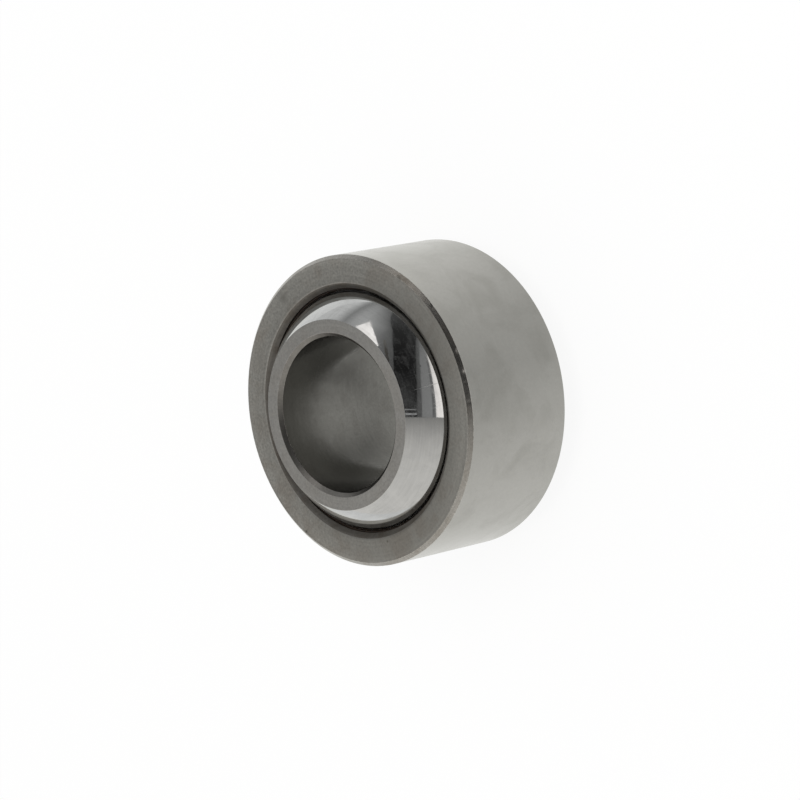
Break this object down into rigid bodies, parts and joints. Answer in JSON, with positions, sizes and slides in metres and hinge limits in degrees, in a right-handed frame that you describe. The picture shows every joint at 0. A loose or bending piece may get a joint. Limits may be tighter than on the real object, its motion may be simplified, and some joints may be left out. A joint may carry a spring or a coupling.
{
  "type": "spherical plain bearing",
  "caption": "Slim radial spherical plain bearing: a polished steel ball with a bore, held by a thin sliding liner in a closed steel outer ring, free to turn and to tilt.",
  "frame": {"origin": "centre of the ball, which is also the centre of the outer ring and the middle of the whole bearing", "axes": "+Z along the bearing axis, out of the end that the picture shows; X is the axis that the ball tilts about at rest"},
  "size_m": [0.04, 0.04, 0.025],
  "materials": {
    "outer_ring_steel": "ground outside, fine turned ends",
    "liner_composite": "matt woven sliding layer",
    "inner_ring_steel": "polished ball, ground ends and bore"
  },
  "bodies": {
    "ring": {"outer_ring": "outer_ring_steel"},
    "liner": {"sliding_liner": "liner_composite"},
    "ball": {"inner_ring": "inner_ring_steel"}
  },
  "joints": [
    {"name": "ball_turn", "type": "hinge", "parent": "ring", "child": "liner", "pos_m": [0, 0, 0], "axis": [0, 0, 1], "continuous": true},
    {"name": "ball_tilt", "type": "hinge", "parent": "liner", "child": "ball", "pos_m": [0, 0, 0], "axis": [1, 0, 0], "range_deg": [-14, 14]}
  ]
}
